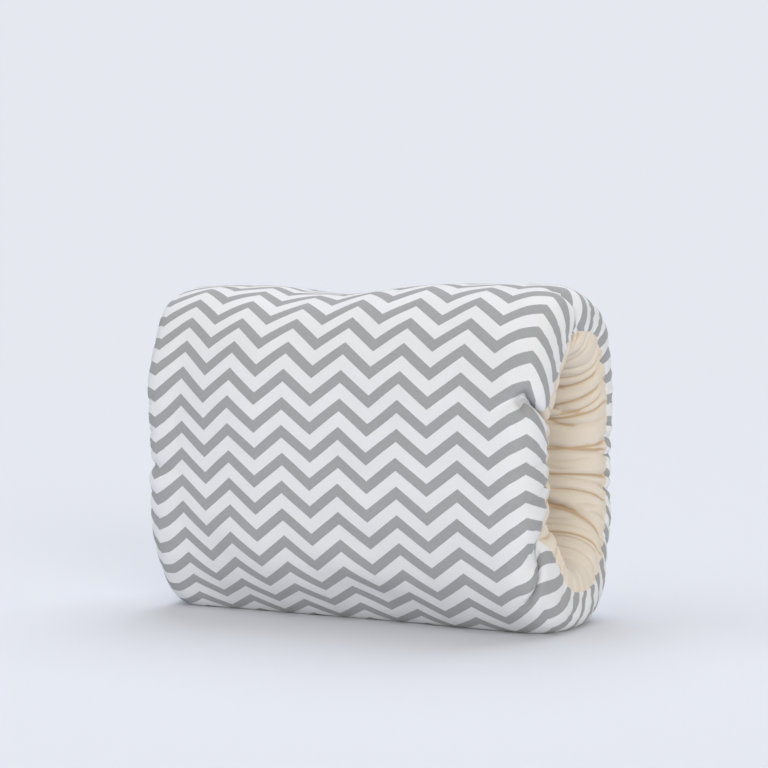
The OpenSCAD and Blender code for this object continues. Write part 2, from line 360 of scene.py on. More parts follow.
def upper_tuck(share, run):
    """The front's upper tuck: its height, and how far it draws cloth sideways and in. Folds fan out from the
    dimple in which it ends."""
    dimple = 20 * MM
    d = apart(share, UPPER_TUCK - 0.10 * run / COVER_ROUND) * COVER_ROUND
    fade = (1 - smooth(run, dimple - 3 * MM, dimple + 6 * MM)) * smooth(run, -3 * MM, 1.5 * MM)
    sideways = fade * drawn_in(d + 1 * MM, 5.5 * MM, 24 * MM)
    h = fade * (-4.6 * MM * hump(d, 0, 5.0 * MM) + 2.2 * MM * hump(d, -9 * MM, 6 * MM))
    h += fade * 1.6 * MM * hump(d, 8.5 * MM, 4.5 * MM)
    ahead = run - dimple
    away = np.hypot(d, ahead)
    h -= 5.4 * MM * hump(away, 0, 4.6 * MM)
    inwards = -1.8 * MM * hump(away, 0, 9 * MM)
    for angle, deep, reach in FAN:
        forward = ahead * math.cos(angle) + d * math.sin(angle)
        side = d * math.cos(angle) - ahead * math.sin(angle)
        fold = smooth(forward, 0, 5 * MM) * (1 - smooth(forward, 0.25 * reach * MM, reach * MM))
        h -= deep * MM * fold * hump(side, 0, 2.3 * MM)
        h += 0.6 * deep * MM * fold * hump(side, -math.copysign(4.6 * MM, angle), 3.4 * MM)
    return h, sideways, inwards


def lower_tuck(share, run):
    """The front's lower tuck: its height, and how far it draws cloth sideways. It is a pleat that runs down
    from the seam, and the cloth below laps up over its crease."""
    d = apart(share, LOWER_TUCK + 0.78 * run / COVER_ROUND) * COVER_ROUND
    fade = (1 - smooth(run, 20 * MM, 42 * MM)) * smooth(run, -3 * MM, 2 * MM)
    sideways = fade * (drawn_in(d, 6.5 * MM, 26 * MM) - 4.0 * MM * hump(d, 7 * MM, 4.5 * MM))
    crease, lap = hump(d, -0.5 * MM, 3.6 * MM), hump(d, 8.0 * MM, 4.5 * MM)
    h = fade * (-6.4 * MM * crease + 4.2 * MM * lap + 0.8 * MM * hump(d, -11 * MM, 6 * MM))
    return h, sideways


def top_tuck(share, run):
    """The small tuck that notches the top: its height, and how far it draws cloth sideways."""
    d = apart(share, TOP_TUCK + 0.12 * run / COVER_ROUND) * COVER_ROUND
    fade = (1 - smooth(run, 22 * MM, 38 * MM)) * smooth(run, -2 * MM, 6 * MM)
    h = fade * (-5.6 * MM * hump(d, 0, 3.8 * MM) + 1.8 * MM * hump(np.abs(d), 9 * MM, 5 * MM))
    return h, fade * drawn_in(d, 3.0 * MM, 18 * MM)


def tucks(points, out, share, run):
    """How each point moves for the right mouth's tucks, where the gathered cloth folds over itself."""
    along = unit(np.roll(points, -1, 1) - np.roll(points, 1, 1))
    back = unit(np.gradient(points, axis=0))
    upper, upper_sideways, inwards = upper_tuck(share, run)
    lower, lower_sideways = lower_tuck(share, run)
    top, top_sideways = top_tuck(share, run)
    h = upper + lower + top
    sideways = upper_sideways + lower_sideways + top_sideways
    shift = out * h[..., None] + along * sideways[..., None] + back * inwards[..., None]
    return np.where(points[..., :1] > 0, shift, 0)


def left_fold(points, share, run_left):
    """The height of the soft fold on the front of the left mouth."""
    across = apart(share, 0.527) * COVER_ROUND
    ridge = 3.6 * MM * hump(across, 3 * MM, 8 * MM) * hump(run_left, 20 * MM, 14 * MM)
    valley = -4.6 * MM * hump(across, -5.5 * MM, 3.4 * MM) * (1 - smooth(run_left, 14 * MM, 42 * MM))
    return np.where(points[..., 0] < 0, ridge + valley, 0)


def cover_gathers(share, x, run, run_left):
    """The height of the cover's gathers at both mouths, and of the closing seam on each side of the zip."""
    gathers = np.zeros(share.shape)
    for step, side_run in enumerate((run, run_left)):
        for family in CREASES:
            gathers += creases(share, side_run, COVER_ROUND, family, step)
    front = hump(apart(share, 0.5), 0, 0.085)
    gathers *= (1 - 0.4 * front) * (1.05 + 0.45 * unevenness(share, x, 9, 60 * MM, 23).clip(-1, 1.4))
    seam = hump(apart(share, 0) * COVER_ROUND, 0, 1.5 * MM)
    return gathers - 0.9 * MM * seam * smooth(np.abs(x), SLOT_X + 1 * MM, SLOT_X + 6 * MM)


def zip_strip(share, x, turn):
    """1 on the strip that the zip is sewn to, fading to 0 round it."""
    v = np.abs(apart(share, 0) * COVER_ROUND)
    strip = (1 - smooth(v, 15 * MM, 30 * MM)) * (1 - smooth(np.abs(x), SLOT_X + 4 * MM, FLAT_X + 4 * MM))
    return strip * (turn == 0)


def grid_of(rows, shares):
    """Each grid point's x, turn and share of the way round."""
    share = np.broadcast_to(shares, (len(rows), len(shares)))
    return np.broadcast_to(rows[:, :1], share.shape), np.broadcast_to(rows[:, 1:], share.shape), share % 1


def make_cover(steps):
    """The cover's points, rows from the right seam to the left one and columns round from the zip. Also its
    rows, its columns' shares, how far along the cloth each point is, and how proud of its stuffed shape."""
    rows, shares = cover_rows(), cover_shares()
    x, turn, share = grid_of(rows, shares)
    full = ring_point(x, turn, share)
    out = normals_of(full)
    run = run_along(full)
    near = np.minimum(run, run[-1] - run)
    full = full + out * (stuffing(full, share) * smooth(near, 2 * MM, 22 * MM))[..., None]
    full[..., 2] = np.maximum(full[..., 2], FLOOR_GAP)

    # The strip that the zip is sewn to lies flat, in the back's plane.
    strip = zip_strip(share, x, turn)
    plane = np.stack([x, np.full_like(x, BACK_Y), MID_Z + apart(share, 0) * COVER_ROUND], -1)
    full = full + (plane - full) * strip[..., None]

    out = normals_of(full)
    run = run_along(full)
    run_left = run[-1] - run
    near = np.minimum(run, run_left)
    gathers = cover_gathers(share, x, run, run_left) + left_fold(full, share, run_left)
    folds = tucks(full, out, share, run)
    cloth = full + out * gathers[..., None] + folds
    aim = full + out * (0.8 * gathers[..., None]) + folds

    # Near the mouths there is more cloth than room. The seams are sewn down, and the zip's strip nearly.
    surplus = 0.13 * (1 - smooth(near, 10 * MM, 42 * MM))
    free = smooth(near, 0, 2.5 * MM) * (1 - 0.999 * strip)
    free[0] = free[-1] = 0
    round_rest, along_rest = round_lengths(full) * (1 + surplus), along_lengths(full) * 1.012
    relax(cloth, round_rest, along_rest, free, aim, steps, pull=0.06, pressure=0.05 * MM, stiff=0.035)
    return cloth, rows, shares, run, ((cloth - full) * out).sum(-1)


# ---------------- the lining's cloth
# Families of creases, as on the cover.
MOUTH_CREASES = (
    (9.2, 4.6, 1.35, (-3, 3), (60, 120), 0.12, 41),
    (15, 3.4, 1.2, (14, 40), (30, 60), 0.18, 51),
    (7, 1.0, 0.8, (-3, 1), (7, 16), 0.15, 61),
)
TUNNEL_CREASES = (8, 2.6, 1.3, (90, 110), (60, 90), 0.12, 71)
# How long a ring is at the mouths' seams, in the tunnel, and where the long fold starts.
MOUTH_RING, TUNNEL_RING, FOLD_RING = 385 * MM, 330 * MM, 350 * MM


def lining_rows():
    """(x, turn) of each row of the lining, from the left seam through the tunnel to the right one."""
    lip = np.linspace(SEAM_TURN, math.pi, 13)[:-1].tolist()
    side = (FLAT_X - np.cumsum(np.linspace(2.0, 4.6, 20)) * MM).tolist()
    middle = np.linspace(side[-1], -side[-1], 16)[1:-1].tolist()
    through = [FLAT_X, *side, *middle, *[-x for x in side[::-1]], -FLAT_X]
    rows = [(-FLAT_X, turn) for turn in lip] + [(-x, math.pi) for x in through]
    return np.array(rows + [(FLAT_X, turn) for turn in lip[::-1]])


def seam_points(cover, cover_shares, shares):
    """The sewn edges of the cover, left and right, at other shares of the way round."""
    order = np.argsort(cover_shares % 1)
    at = (cover_shares % 1)[order]
    seams = []
    for row in (cover[-1], cover[0]):
        seams.append(np.stack([np.interp(shares, at, row[order, i], period=1) for i in range(3)], -1))
    return seams


def lining_gathers(share, run, run_left, drawn):
    """The height of the lining's gathers: creases from each mouth and through the middle, and few of them
    where an arm would lie."""
    field = np.zeros(share.shape)
    for step, side_run in enumerate((run, run_left)):
        for family in MOUTH_CREASES:
            field += creases(share, side_run, MOUTH_RING, family, step)
    field += creases(share, run, TUNNEL_RING, TUNNEL_CREASES)
    floor = hump(apart(share, 0.745), 0, 0.085)
    field *= 1 - 0.85 * floor * (1 - drawn)
    # One long fold runs slantwise low on the back of the right mouth.
    d = apart(share, 0.868 + 0.30 * run / TUNNEL_RING) * FOLD_RING
    long_fold = smooth(run, -4 * MM, 6 * MM) * (1 - smooth(run, 60 * MM, 120 * MM))
    field -= 3.8 * MM * long_fold * hump(d, 0, 2.0 * MM)
    return field + 2.2 * MM * long_fold * hump(d, 5.5 * MM, 3.4 * MM)


def make_lining(steps, cover, cover_shares):
    """The lining's points, rows from the left seam through the tunnel, columns as on the cover. Also its
    columns' shares, how far each point is from the right seam, and how deep it lies in a crease."""
    shares = np.arange(LINING_COLUMNS) / LINING_COLUMNS
    x, turn, share = grid_of(lining_rows(), shares)
    full = ring_point(x, turn, share)
    out = normals_of(full)
    run_left = run_along(full)
    run = run_left[-1] - run_left
    near = np.minimum(run, run_left)
    for edge, sewn, distance in zip((0, -1), seam_points(cover, cover_shares, shares), (run_left, run)):
        full = full + (sewn - full[edge]) * (1 - smooth(distance, 0, 12 * MM))[..., None]
    # The middle elastic draws the lining in, and the filling puffs it up on both sides.
    drawn = hump(x, 0, 16 * MM)
    puff = 2.6 * MM * smooth(near, 0, 14 * MM)
    lumps = 1.3 * MM * smooth(near, 6 * MM, 30 * MM) * unevenness(share, x, 7, 34 * MM, 31)
    full = full + out * (puff + lumps - 4.0 * MM * drawn)[..., None]
    out = normals_of(full)
    field = lining_gathers(share, run, run_left, drawn)

    floor = hump(apart(share, 0.745), 0, 0.085)
    round_rest = round_lengths(full) * (1.10 + 0.10 * drawn) * (1 - 0.07 * floor)
    along_rest = along_lengths(full) * 1.01
    free = smooth(near, 0, 2 * MM)
    free[0] = free[-1] = 0
    aim = full + out * field[..., None]
    cloth = aim.copy()
    cloth[0], cloth[-1] = full[0], full[-1]
    relax(cloth, round_rest, along_rest, free, aim, steps, 0.10, pressure=0.07 * MM, stiff=0.015, floor=False)
    return cloth, shares, run, 0.3 * ((cloth - full) * out).sum(-1) + 0.8 * field


# ---------------- meshes
def put(name, mesh, body="pillow"):
    """A new piece from a mesh, riding on a body."""
    piece = bpy.data.objects.new(name, mesh)
    link(piece)
    mesh.polygons.foreach_set("use_smooth", [True] * len(mesh.polygons))
    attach(piece, body)
    return piece


def mesh_of(name, points, faces):
    """A mesh of four-cornered faces."""
    mesh = bpy.data.meshes.new(name)
    points, faces = np.asarray(points).reshape(-1, 3), np.asarray(faces).reshape(-1, 4)
    mesh.from_pydata(points.tolist(), [], faces.tolist())
    mesh.update()
    return mesh


def grid_faces(rows, columns, closed_round=True, closed_along=False):
    """The four-cornered faces of a grid of points, wound so that they face away from the filling."""
    index = np.arange(rows * columns).reshape(rows, columns)
    right = np.roll(index, -1, 1)
    down, corner = np.roll(index, -1, 0), np.roll(right, -1, 0)
    faces = np.stack([index, down, corner, right], -1)
    faces = faces if closed_along else faces[:-1]
    return faces if closed_round else faces[:, :-1]


def write_uv(mesh, u, v, full_round):
    """The map called fabric: each vertex's place on the flat cloth, in metres. A face across the cloth's own
    seam stays whole."""
    corner = np.empty(len(mesh.loops), np.int32)
    mesh.loops.foreach_get("vertex_index", corner)
    uv = np.stack([u.reshape(-1)[corner], v.reshape(-1)[corner]], -1).reshape(-1, 4, 2)
    crosses = np.ptp(uv[:, :, 1], axis=1) > full_round / 2
    start = uv[:, :, 1] < full_round / 2
    uv[:, :, 1] += np.where(crosses[:, None] & start, full_round, 0)
    layer = mesh.uv_layers.new(name="fabric")
    layer.data.foreach_set("uv", uv.reshape(-1))


def write_hollow(mesh, values):
    """Each vertex's height over the stuffed shape, which the cloths' materials read to paint shade into the
    creases.
    """
    attribute = mesh.attributes.new("hollow", "FLOAT", "POINT")
    attribute.data.foreach_set("value", np.asarray(values, np.float32).reshape(-1))


def cloth_u(run, points):
    """Each point's U: how far along the cloth it is from the object's middle, positive to the right. Beyond
    start the gathers take up part of the cloth, most low on the front."""
    nearest = np.abs(points[..., 0]).argmin(0)
    columns = np.arange(run.shape[1])
    u = run[nearest, columns] + points[nearest, columns, 0] - run
    share = columns / len(columns)
    start, eased = 118 * MM, 0.24 + 0.16 * hump(apart(share, 0.64), 0, 0.05)
    return u - np.sign(u) * eased * np.clip(np.abs(u) - start, 0, None)


def mean_ring(points, window=45):
    """A row of points with its creases averaged away."""
    kernel = np.ones(window) / window
    wide = np.concatenate([points[-window:], points, points[:window]])
    return np.stack([np.convolve(wide[:, i], kernel, "same")[window:-window] for i in range(3)], -1)


# ---------------- materials
WHITE, GREY = (0.800, 0.817, 0.852, 1), (0.366, 0.374, 0.394, 1)
# The lining's own cream, then a darker, warmer cream that is painted shade for the valleys of its gathers.
CREAM, CREAM_CREASE_SHADE = (0.762, 0.694, 0.606, 1), (0.61, 0.46, 0.31, 1)

# The printed zigzag: its length and height, the pitch of its bands and the grey's share of that. Then how far
# right of the front's middle a peak lies, and how high a band's upper edge is there.
ZIGZAG_LONG, ZIGZAG_HIGH, BAND_PITCH, BAND_SHARE = 38.3 * MM, 14.3 * MM, 16.4 * MM, 0.45
PEAK_X, PEAK_Z = 10.4 * MM, 102.2 * MM


def feed(tree, place, value):
    """Gives a node's input a value or another node's output."""
    if isinstance(value, bpy.types.NodeSocket):
        tree.links.new(value, place)
    else:
        place.default_value = value


def wire(tree, kind, settings, *inputs):
    """A node with its settings, whose first inputs are fed in order."""
    made = tree.nodes.new("ShaderNode" + kind)
    for name, value in settings.items():
        setattr(made, name, value)
    for place, value in zip(made.inputs, inputs):
        feed(tree, place, value)
    return made


def maths(tree, operation, *inputs):
    return wire(tree, "Math", {"operation": operation}, *inputs).outputs[0]


def ramp(tree, value, low, high, out_low=0.0, out_high=1.0):
    settings = {"interpolation_type": "SMOOTHSTEP"}
    return wire(tree, "MapRange", settings, value, low, high, out_low, out_high).outputs[0]


def scaled(tree, vector, scales):
    """A vector with each of its parts multiplied."""
    return wire(tree, "VectorMath", {"operation": "MULTIPLY"}, vector, scales).outputs[0]


def mix(tree, share, first, second, blend="MIX"):
    made = tree.nodes.new("ShaderNodeMix")
    made.data_type, made.blend_type = "RGBA", blend
    enabled = [place for place in made.inputs if place.enabled]
    for name, kind, value in (("Factor", "VALUE", share), ("A", "RGBA", first), ("B", "RGBA", second)):
        feed(tree, next(place for place in enabled if (place.name, place.type) == (name, kind)), value)
    return next(output for output in made.outputs if output.enabled)


def noise(tree, vector, scale, detail=2.0, rough=0.5):
    made = wire(tree, "TexNoise", {}, vector)
    made.inputs["Scale"].default_value = scale
    made.inputs["Detail"].default_value = detail
    made.inputs["Roughness"].default_value = rough
    return made.outputs["Fac"]


def new_material(name, rough=0.9, specular=0.25, metallic=0.0, sheen=0.0):
    material = bpy.data.materials.new(name)
    material.use_nodes = True
    tree = material.node_tree
    shader = tree.nodes["Principled BSDF"]
    shader.inputs["Roughness"].default_value = rough
    shader.inputs["Specular IOR Level"].default_value = specular
    shader.inputs["Metallic"].default_value = metallic
    shader.inputs["Sheen Weight"].default_value = sheen
    shader.inputs["Sheen Roughness"].default_value = 0.5
    return material, tree, shader


def paint(tree, shader, colour, shade=None):
    """Gives the shader its colour, darkened by shade where there is one."""
    if shade is not None:
        grey = wire(tree, "CombineXYZ", {}, shade, shade, shade).outputs[0]
        colour = mix(tree, 1.0, colour, grey, "MULTIPLY")
    tree.links.new(colour, shader.inputs["Base Color"])


def bump(tree, shader, height, distance, strength=1.0, below=None):
    made = tree.nodes.new("ShaderNodeBump")
    made.inputs["Strength"].default_value = strength
    made.inputs["Distance"].default_value = distance
    tree.links.new(height, made.inputs["Height"])
    if below is not None:
        tree.links.new(below, made.inputs["Normal"])
    tree.links.new(made.outputs[0], shader.inputs["Normal"])
    return made.outputs[0]


def own_place(tree):
    """The object's own coordinates, in metres."""
    return wire(tree, "TexCoord", {}).outputs["Object"]


def parts_of(tree, vector):
    """A vector's x, y and z."""
    return wire(tree, "SeparateXYZ", {}, vector).outputs[:]


def fabric_map(tree):
    """The place on the flat cloth, in metres, whole and as u and v."""
    uv = wire(tree, "UVMap", {"uv_map": "fabric"}).outputs[0]
    u, v, _ = parts_of(tree, uv)
    return uv, u, v


def woven(tree, u, v, pitch):
    """The height of a plain weave with that thread pitch."""
    waves = [maths(tree, "SINE", maths(tree, "MULTIPLY", way, 2 * math.pi / pitch)) for way in (u, v)]
    return maths(tree, "MULTIPLY", *waves)


def threads(tree, uv, coarse, fine):
    """Threads of slightly uneven thickness, both ways: noise that is coarse along them and fine across."""
    scales = ((coarse, fine, 1), (fine, coarse, 1))
    ways = [noise(tree, scaled(tree, uv, way), 1.0, 3.0, 0.55) for way in scales]
    return maths(tree, "ADD", *ways)


def hollow_of(tree):
    return wire(tree, "Attribute", {"attribute_name": "hollow"}).outputs["Fac"]


def zigzag_ink(tree, uv, u, v):
    """How much grey ink the print has at each place, with slightly wobbly edges and patchy cover."""
    wobble = maths(tree, "MULTIPLY", maths(tree, "SUBTRACT", noise(tree, uv, 1500, 2), 0.5), 0.5 * MM)
    down = maths(tree, "PINGPONG", maths(tree, "SUBTRACT", u, PEAK_X), ZIGZAG_LONG / 2)
    down = maths(tree, "MULTIPLY", down, 2 * ZIGZAG_HIGH / ZIGZAG_LONG)
    height = maths(tree, "SUBTRACT", MID_Z + COVER_ROUND / 2 - PEAK_Z, v)
    height = maths(tree, "ADD", maths(tree, "ADD", height, down), wobble)
    band = maths(tree, "ADD", maths(tree, "DIVIDE", height, BAND_PITCH), BAND_SHARE / 2)
    band = maths(tree, "PINGPONG", band, 0.5)
    ink = ramp(tree, band, BAND_SHARE / 2 - 0.010, BAND_SHARE / 2 + 0.010, 1.0, 0.0)
    patchy = maths(tree, "MULTIPLY_ADD", noise(tree, uv, 420, 4, 0.6), 0.16, 0.90)
    return maths(tree, "MINIMUM", maths(tree, "MULTIPLY", ink, patchy), 1.0)


def print_material():
    """White cotton with a printed grey zigzag, a little darker in its creases, where shade is painted."""
    material, tree, shader = new_material("printed_cotton", 0.88, 0.22, 0.0, 0.12)
    uv, u, v = fabric_map(tree)
    shade = maths(tree, "MULTIPLY_ADD", threads(tree, uv, 260, 2600), 0.07, 0.93)
    shade = maths(tree, "MULTIPLY", shade, maths(tree, "MULTIPLY_ADD", noise(tree, uv, 38, 3), 0.05, 0.975))
    # Painted shade: the cloth's colour darkens where it lies deep in a crease.
    shade = maths(tree, "MULTIPLY", shade, ramp(tree, hollow_of(tree), -3.2 * MM, -0.3 * MM, 0.88, 1.0))
    paint(tree, shader, mix(tree, zigzag_ink(tree, uv, u, v), WHITE, GREY), shade)
    creased = bump(tree, shader, noise(tree, uv, 75, 4, 0.55), 0.9 * MM, 0.35)
    bump(tree, shader, woven(tree, u, v, 0.5 * MM), 0.05 * MM, 0.5, creased)
    return material


def lining_material():
    """Plain cream cotton, darker and warmer in the valleys of its gathers, where shade and bounced light are
    painted.
    """
    material, tree, shader = new_material("cream_cotton", 0.92, 0.2, 0.0, 0.15)
    uv, u, v = fabric_map(tree)
    shade = maths(tree, "MULTIPLY_ADD", threads(tree, uv, 300, 2400), 0.08, 0.92)
    shade = maths(tree, "MULTIPLY", shade, maths(tree, "MULTIPLY_ADD", noise(tree, uv, 55, 3), 0.07, 0.965))
    # Painted shade: deep in the gathers the cream turns darker and warmer, standing in for shade and light
    # bounced between the folds.
    deep = ramp(tree, hollow_of(tree), -3.6 * MM, -1.5 * MM, 1.0, 0.0)
    paint(tree, shader, mix(tree, deep, CREAM, CREAM_CREASE_SHADE), shade)
    creased = bump(tree, shader, noise(tree, scaled(tree, uv, (0.35, 1, 1)), 190, 4, 0.55), 1.0 * MM, 0.45)
    bump(tree, shader, woven(tree, u, v, 0.42 * MM), 0.05 * MM, 0.5, creased)
    return material


def bag_material():
    """Thin plain cotton without a map, woven in its own coordinates."""
    material, tree, shader = new_material("bag_cotton", 0.95, 0.2, 0.0, 0.1)
    place = own_place(tree)
    x, y, z = parts_of(tree, place)
    mottle = maths(tree, "MULTIPLY_ADD", noise(tree, place, 90, 4), 0.12, 0.94)
    paint(tree, shader, (0.80, 0.79, 0.76, 1), mottle)
    creased = bump(tree, shader, noise(tree, place, 140, 4), 0.6 * MM, 0.5)
    bump(tree, shader, woven(tree, x, maths(tree, "ADD", y, z), 0.6 * MM), 0.06 * MM, 0.6, creased)
    return material


def fibre_material():
    """Matted polyester fibre."""
    material, tree, shader = new_material("polyester_fibre", 1.0, 0.1, 0.0, 0.5)
    strands = noise(tree, scaled(tree, own_place(tree), (300, 900, 900)), 1, 6, 0.7)
    shade = maths(tree, "MULTIPLY_ADD", strands, 0.25, 0.75)
    paint(tree, shader, mix(tree, shade, (0.62, 0.62, 0.62, 1), (0.87, 0.87, 0.86, 1)))
    bump(tree, shader, strands, 1.2 * MM, 0.9)
    return material


def elastic_material():
    """Ribbed elastic with a coarse weave."""
    material, tree, shader = new_material("ribbed_elastic", 0.7, 0.3, 0.0, 0.1)
    x, y, z = parts_of(tree, own_place(tree))
    weave = woven(tree, x, maths(tree, "ADD", y, z), 0.8 * MM)
    shade = maths(tree, "MULTIPLY_ADD", weave, 0.08, 0.92)
    paint(tree, shader, mix(tree, shade, (0.45, 0.45, 0.45, 1), (0.80, 0.79, 0.77, 1)))
    bump(tree, shader, weave, 0.12 * MM, 0.8)
    return material


def thread_material():
    """Twisted sewing thread."""
    material, tree, shader = new_material("thread", 0.6, 0.35, 0.0, 0.2)
    twist = noise(tree, scaled(tree, own_place(tree), (1500, 6000, 6000)), 1, 2)
    paint(tree, shader, mix(tree, twist, (0.62, 0.62, 0.62, 1), (0.86, 0.86, 0.86, 1)))
    bump(tree, shader, twist, 0.08 * MM, 0.7)
    return material


def tape_material():
    """Woven zip tape, a fine herringbone of threads."""
    material, tree, shader = new_material("zip_tape", 0.75, 0.3, 0.0, 0.1)
    x, _, z = parts_of(tree, own_place(tree))
    slant = maths(tree, "ADD", x, maths(tree, "PINGPONG", z, 1.6 * MM))
    twill = maths(tree, "SINE", maths(tree, "MULTIPLY", slant, 2 * math.pi / (0.55 * MM)))
    shade = maths(tree, "MULTIPLY_ADD", twill, 0.08, 0.9)
    paint(tree, shader, mix(tree, shade, (0.30, 0.30, 0.31, 1), (0.66, 0.665, 0.67, 1)))
    bump(tree, shader, twill, 0.1 * MM, 0.7)
    return material


def moulded_material(name, colour, rough, metallic, grain):
    """Moulded or cast stuff with a faint grain and slightly uneven gloss."""
    material, tree, shader = new_material(name, rough, 0.5, metallic)
    place = own_place(tree)
    spots = noise(tree, place, 900, 4, 0.6)
    paint(tree, shader, colour, maths(tree, "MULTIPLY_ADD", spots, 0.14, 0.93))
    tree.links.new(ramp(tree, spots, 0.3, 0.7, rough - 0.07, rough + 0.1), shader.inputs["Roughness"])
    bump(tree, shader, noise(tree, place, 2600, 3), grain, 0.5)
    return material


def label_material():
    """Satin ribbon with fine ribs."""
    material, tree, shader = new_material("label_satin", 0.4, 0.5, 0.0, 0.3)
    weave = noise(tree, scaled(tree, own_place(tree), (300, 300, 7000)), 1, 2)
    paint(tree, shader, mix(tree, weave, (0.74, 0.74, 0.73, 1), (0.86, 0.86, 0.85, 1)))
    bump(tree, shader, weave, 0.05 * MM, 0.6)
    return material


# ---------------- the cover, its hem and its stitching
# The hem's folds in millimetres: how far each lies in from the slot's edge, and how deep under the cloth.
HEM = ((0.22, 0.12), (0.30, 0.40), (0.10, 0.70), (-1.0, 0.82), (-5.0, 0.85))
STITCH_RINGS, STITCH_SIDES = 5, 6


def slot_loop(rows):
    """The grid places round the zip's slot as (row, column), its end rows and its lower column."""
    inside = np.flatnonzero((np.abs(rows[:, 0]) <= SLOT_X + 1e-6) & (rows[:, 1] == 0))
    first, last = inside[0], inside[-1]
    lower, upper = COVER_COLUMNS - 5, 0
    between = list(range(COVER_COLUMNS - 1, lower, -1))
    loop = [(row, upper) for row in range(first, last + 1)]
    loop += [(last, column) for column in between]
    loop += [(row, lower) for row in range(last, first - 1, -1)]
    loop += [(first, column) for column in between[::-1]]
    return loop, first, last, lower


def make_cover_piece(points, rows, shares, run, hollow):
    """The cover's mesh, open at the zip, where its edges fold under."""
    n_rows, n_columns = points.shape[:2]
    loop, first, last, lower = slot_loop(rows)
    faces = grid_faces(n_rows, n_columns)
    keep = np.ones(faces.shape[:2], bool)
    keep[first:last, lower:] = False
    u = cloth_u(run, points).reshape(-1)
    v = np.broadcast_to((shares % 1) * COVER_ROUND, run.shape).reshape(-1)

    # The hem: in the slot's plane towards its middle, then under, then back behind the cloth.
    edge = np.array([points[place] for place in loop])
    middle_x = edge[:, 0].clip(-SLOT_X + SLOT_HALF, SLOT_X - SLOT_HALF)
    inwards = unit(np.stack([middle_x, edge[:, 1], np.full(len(edge), MID_Z)], -1) - edge)
    strips = [edge + inwards * step * MM - np.array([0, depth * MM, 0]) for step, depth in HEM]
    ring = np.array([row * n_columns + column for row, column in loop])
    outer = ring
    hem_faces = []
    for k in range(len(HEM)):
        inner = n_rows * n_columns + k * len(loop) + np.arange(len(loop))
        hem_faces.append(np.stack([outer, np.roll(outer, -1), np.roll(inner, -1), inner], -1))
        outer = inner
    all_points = np.concatenate([points.reshape(-1, 3), *strips])
    mesh = mesh_of("cover", all_points, np.concatenate([faces[keep], *hem_faces]))
    hem_u, hem_v = np.tile(u[ring], len(HEM)), np.tile(v[ring], len(HEM))
    write_uv(mesh, np.concatenate([u, hem_u]), np.concatenate([v, hem_v]), COVER_ROUND)
    write_hollow(mesh, np.concatenate([hollow.reshape(-1), np.zeros(len(hem_u))]))
    mesh.materials.append(print_material())
    piece = put("cover", mesh)
    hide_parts("outer_cover")


def stitch(middle, direction, normal, length, radius):
    """The points and faces of one stitch, a thread that rises out of the cloth and goes back into it."""
    across = np.cross(normal, direction)
    points = []
    for k in np.linspace(-1, 1, STITCH_RINGS):
        centre = middle + direction * (k * length / 2) + normal * radius * (0.5 - 0.9 * k * k)
        thick = radius * (1 - 0.45 * k**4)
        for angle in np.arange(STITCH_SIDES) * 2 * math.pi / STITCH_SIDES:
            points.append(centre + (across * math.cos(angle) + normal * math.sin(angle)) * thick)
    faces = []
    for ring in range(STITCH_RINGS - 1):
        start, above = ring * STITCH_SIDES, (ring + 1) * STITCH_SIDES
        for side in range(STITCH_SIDES):
            after = (side + 1) % STITCH_SIDES
            faces.append((start + side, start + after, above + after, above + side))
    faces.append(tuple(range(STITCH_SIDES))[::-1])
    faces.append(tuple(range(len(points) - STITCH_SIDES, len(points))))
    return points, faces


def make_stitching():
    """The line of topstitching round the zip's slot."""
    far_x, far_z, pitch = SLOT_X + 3 * MM, SLOT_HALF + 2.6 * MM, 3.1 * MM
    corners = [(far_x, far_z), (-far_x, far_z), (-far_x, -far_z), (far_x, -far_z)]
    outwards = np.array([0, 1.0, 0])
    points, faces = [], []
    for (x0, z0), (x1, z1) in zip(corners, corners[1:] + corners[:1]):
        length = math.hypot(x1 - x0, z1 - z0)
        count = max(2, round(length / pitch))
        direction = np.array([(x1 - x0) / length, 0, (z1 - z0) / length])
        for i in range(count):
            k = (i + 0.5) / count
            middle = np.array([x0 + (x1 - x0) * k, BACK_Y + 0.05 * MM, MID_Z + z0 + (z1 - z0) * k])
            more, more_faces = stitch(middle, direction, outwards, length / count * 0.74, 0.26 * MM)
            faces += [tuple(corner + len(points) for corner in face) for face in more_faces]
            points += more
    mesh = bpy.data.meshes.new("cover_stitching")
    mesh.from_pydata([tuple(point) for point in points], [], faces)
    mesh.materials.append(thread_material())
    put("cover_stitching", mesh)


# ---------------- the lining, the elastics and the filling
def make_lining_piece(lining, shares, lining_run, hollow):
    """The lining's mesh."""
    mesh = mesh_of("lining", lining, grid_faces(*lining.shape[:2]))
    v = np.broadcast_to(shares * LINING_ROUND, lining_run.shape)
    write_uv(mesh, cloth_u(lining_run, lining), v, LINING_ROUND)
    write_hollow(mesh, hollow)
    mesh.materials.append(lining_material())
    piece = put("lining", mesh)
    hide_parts("inner_sleeve")


